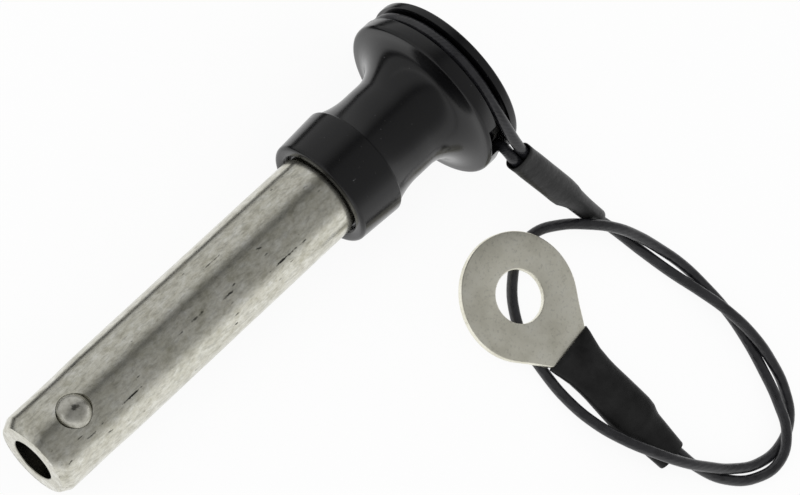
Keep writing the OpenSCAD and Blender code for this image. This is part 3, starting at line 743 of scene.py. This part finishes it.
def add_button(material):
    """The push button with its stop flange and a slightly hollow face."""
    outline = [(78.65, 0.0), (78.65, 4.45), (73.65, 4.45), (73.65, 6.14), (73.7, 6.19), (75.18, 6.19),
               (75.23, 6.14), (75.23, 5.4)]
    outline += arc(BUTTON_END - 0.5, 4.9, 0.5, 90, 0, 8)
    outline += [(BUTTON_END - 0.02, 3.6), (BUTTON_END - 0.1, 2.6), (BUTTON_END - 0.14, 0.0)]
    bm = bmesh.new()
    turn_profile(bm, densify(outline, 0.8), 128)
    close_seams(bm)
    bmesh.ops.transform(bm, matrix=PIN_LAID, verts=bm.verts)
    return finish_piece("button_head", bm, "plunger", material, ["push_button"], 30.0)


def add_spring(material):
    """The return spring, wound by turning its wire's section up the pin's axis."""
    wire, coil = 0.38, 3.85
    first, last = SPRING_FROM + 0.4, SPRING_TO - 0.4
    bm = bmesh.new()
    ring = bmesh.ops.create_circle(bm, cap_ends=False, segments=14, radius=wire)["verts"]
    bmesh.ops.transform(bm, matrix=Matrix.Translation((first, coil, 0)), verts=ring)
    geom = ring + bm.edges[:]
    open_rise = (last - first - 1.6) / 5
    for turns, rise in ((1, 0.8), (5, open_rise), (1, 0.8)):
        steps = 32 * turns
        done = bmesh.ops.spin(bm, geom=geom, cent=(0, 0, 0), axis=(1, 0, 0), dvec=(rise / 32, 0, 0),
                              angle=math.radians(360.0 * turns), space=Matrix.Identity(4), steps=steps,
                              use_merge=False, use_duplicate=False)
        geom = done["geom_last"]
    bmesh.ops.holes_fill(bm, edges=[e for e in bm.edges if e.is_boundary], sides=0)
    bmesh.ops.transform(bm, matrix=PIN_LAID, verts=bm.verts)
    spring = finish_piece("spring_coil", bm, "pin_body", material, ["return_spring"], 60.0)
    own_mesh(spring)
    return spring


def add_ball(name, body, node, turn, material):
    """A ball standing out of its hole, at a turn in degrees about the pin's axis."""
    bm = bmesh.new()
    bmesh.ops.create_uvsphere(bm, u_segments=64, v_segments=40, radius=BALL_R)
    place = (PIN_LAID @ Matrix.Translation((BALL_S, 0, 0)) @ Matrix.Rotation(math.radians(-turn), 4, "X")
             @ Matrix.Translation((0, 0, BALL_REST)))
    bmesh.ops.transform(bm, matrix=place, verts=bm.verts)
    return finish_piece(name, bm, body, material, [node], 60.0)


# Floor, world and lamps

def seen_white(tree, path):
    """1 where the camera looks, straight or through something clear."""
    either = tree.nodes.new("ShaderNodeMath")
    either.operation = "MAXIMUM"
    tree.links.new(path.outputs["Is Camera Ray"], either.inputs[0])
    tree.links.new(path.outputs["Is Transmission Ray"], either.inputs[1])
    return either.outputs[0]


def add_floor():
    """A white floor that keeps the object's shadow, and shows metal a painted reflection with a dark line.
    """
    white_share = 0.92
    line_out = 4
    bm = bmesh.new()
    bmesh.ops.create_grid(bm, x_segments=1, y_segments=1, size=4.0)
    mesh = bpy.data.meshes.new("floor")
    bm.to_mesh(mesh)
    bm.free()
    floor = bpy.data.objects.new("floor", mesh)
    bpy.context.scene.collection.objects.link(floor)
    material = bpy.data.materials.new("pale_floor")
    material.use_nodes = True
    tree = material.node_tree
    shader = tree.nodes["Principled BSDF"]
    shader.inputs["Base Color"].default_value = (0.9, 0.9, 0.9, 1)
    shader.inputs["Roughness"].default_value = 0.7
    shader.inputs["Specular IOR Level"].default_value = 0.2
    glow = tree.nodes.new("ShaderNodeEmission")
    glow.inputs["Color"].default_value = (1, 1, 1, 1)
    glow.inputs["Strength"].default_value = 1.0
    seen = tree.nodes.new("ShaderNodeLightPath")
    share = tree.nodes.new("ShaderNodeMath")
    share.operation = "MULTIPLY"
    share.inputs[1].default_value = white_share
    tree.links.new(seen_white(tree, seen), share.inputs[0])
    both = tree.nodes.new("ShaderNodeMixShader")
    tree.links.new(share.outputs[0], both.inputs["Fac"])
    tree.links.new(shader.outputs["BSDF"], both.inputs[1])
    tree.links.new(glow.outputs["Emission"], both.inputs[2])
    # painted reflection: to glossy rays the floor glows white with a dark line beside the pin, further out
    # where the pin is higher
    place = tree.nodes.new("ShaderNodeTexCoord")
    split = tree.nodes.new("ShaderNodeSeparateXYZ")
    tree.links.new(place.outputs["Object"], split.inputs[0])
    rise = tree.nodes.new("ShaderNodeMath")
    rise.operation = "MULTIPLY_ADD"
    rise.inputs[1].default_value = line_out * PIN_SLOPE
    rise.inputs[2].default_value = line_out * PIN_HEIGHT
    tree.links.new(split.outputs["X"], rise.inputs[0])
    slope = tree.nodes.new("ShaderNodeMath")
    slope.operation = "DIVIDE"
    tree.links.new(split.outputs["Y"], slope.inputs[0])
    tree.links.new(rise.outputs[0], slope.inputs[1])
    reflected_line_shades = ramp(tree, slope.outputs[0], [(0.41, 1.0), (0.46, 0.03), (0.58, 0.03), (0.7, 0.62)])
    painted_reflection = tree.nodes.new("ShaderNodeEmission")
    tree.links.new(reflected_line_shades, painted_reflection.inputs["Color"])
    final = tree.nodes.new("ShaderNodeMixShader")
    tree.links.new(seen.outputs["Is Glossy Ray"], final.inputs["Fac"])
    tree.links.new(both.outputs["Shader"], final.inputs[1])
    tree.links.new(painted_reflection.outputs["Emission"], final.inputs[2])
    tree.links.new(final.outputs["Shader"], tree.nodes["Material Output"].inputs["Surface"])
    mesh.materials.append(material)


def add_world():
    """Plain light, white to the camera, and to metal a room whose shades turn about the X axis."""
    world = bpy.data.worlds.new("studio")
    world.use_nodes = True
    tree = world.node_tree
    plain = tree.nodes["Background"]
    plain.inputs["Color"].default_value = (1, 1, 1, 1)
    plain.inputs["Strength"].default_value = 0.75
    seen = tree.nodes.new("ShaderNodeLightPath")
    white = tree.nodes.new("ShaderNodeBackground")
    white.inputs["Color"].default_value = (1, 1, 1, 1)
    white.inputs["Strength"].default_value = 1.0
    room = tree.nodes.new("ShaderNodeBackground")
    place = tree.nodes.new("ShaderNodeTexCoord")
    split = tree.nodes.new("ShaderNodeSeparateXYZ")
    tree.links.new(place.outputs["Generated"], split.inputs[0])
    lean = tree.nodes.new("ShaderNodeMath")
    lean.operation = "ARCTAN2"
    tree.links.new(split.outputs["Y"], lean.inputs[0])
    tree.links.new(split.outputs["Z"], lean.inputs[1])
    unit = tree.nodes.new("ShaderNodeMapRange")
    unit.inputs["From Min"].default_value = -math.pi / 2
    unit.inputs["From Max"].default_value = math.pi / 2
    tree.links.new(lean.outputs[0], unit.inputs["Value"])
    shades = ramp(tree, unit.outputs["Result"],
                  [(0.0, 1.0), (0.12, 0.97), (0.2, 0.58), (0.28, 0.4), (0.45, 0.36), (0.62, 0.3),
                   (0.675, 0.12), (0.7, 0.12), (0.76, 0.42), (0.83, 0.62), (1.0, 0.64)])
    tree.links.new(shades, room.inputs["Color"])
    glossy = tree.nodes.new("ShaderNodeMixShader")
    tree.links.new(seen.outputs["Is Glossy Ray"], glossy.inputs["Fac"])
    tree.links.new(plain.outputs["Background"], glossy.inputs[1])
    tree.links.new(room.outputs["Background"], glossy.inputs[2])
    final = tree.nodes.new("ShaderNodeMixShader")
    tree.links.new(seen_white(tree, seen), final.inputs["Fac"])
    tree.links.new(glossy.outputs["Shader"], final.inputs[1])
    tree.links.new(white.outputs["Background"], final.inputs[2])
    tree.links.new(final.outputs["Shader"], tree.nodes["World Output"].inputs["Surface"])
    bpy.context.scene.world = world


def add_lamp(name, place, aim, size, power):
    """A round soft lamp that metal doesn't mirror."""
    data = bpy.data.lights.new(name, "AREA")
    data.shape = "DISK"
    data.size = size
    data.energy = power
    lamp = bpy.data.objects.new(name, data)
    way = (Vector(place) - Vector(aim)).to_track_quat("Z", "Y")
    lamp.matrix_world = Matrix.Translation(place) @ way.to_matrix().to_4x4()
    lamp.visible_glossy = False
    bpy.context.scene.collection.objects.link(lamp)


add_camera()
cable_coat = coated_cable()
cable("loop_in_groove", loop_points(), cable_coat, "cable_loop")
lanyard = cable("lanyard_run", eased(ROUTE), cable_coat, "lanyard_cable")
sleeve_coat = shrunk_sleeve()
add_loop_sleeve(sleeve_coat)
terminal_sleeve = add_terminal_sleeve(sleeve_coat)
ring = add_ring_terminal(satin_nickel())
curve_length(eased(ROUTE)) * MM
steel = ground_steel()
add_shank(steel)
add_handle(black_anodised())
add_button(turned_aluminium())
ball_metal = polished_ball()
add_ball("ball_above", "ball_upper", "upper_ball", BALL_LEAN, ball_metal)
add_ball("ball_below", "ball_lower", "lower_ball", BALL_LEAN + 180.0, ball_metal)

spring_metal = spring_steel()
add_spring(spring_metal)
kept = {"spindle": steel, "spring_washer": spring_metal, "snap_ring": spring_metal,
        "loop_ferrule": crimp_copper()}
for node, material in kept.items():
    nodes[node].data.materials.clear()
    nodes[node].data.materials.append(material)

add_floor()
add_world()
add_lamp("key_lamp", (-0.25, 0.35, 0.7), (0, -0.02, 0), 0.5, 1.6)
bpy.context.scene.view_settings.view_transform = "Standard"
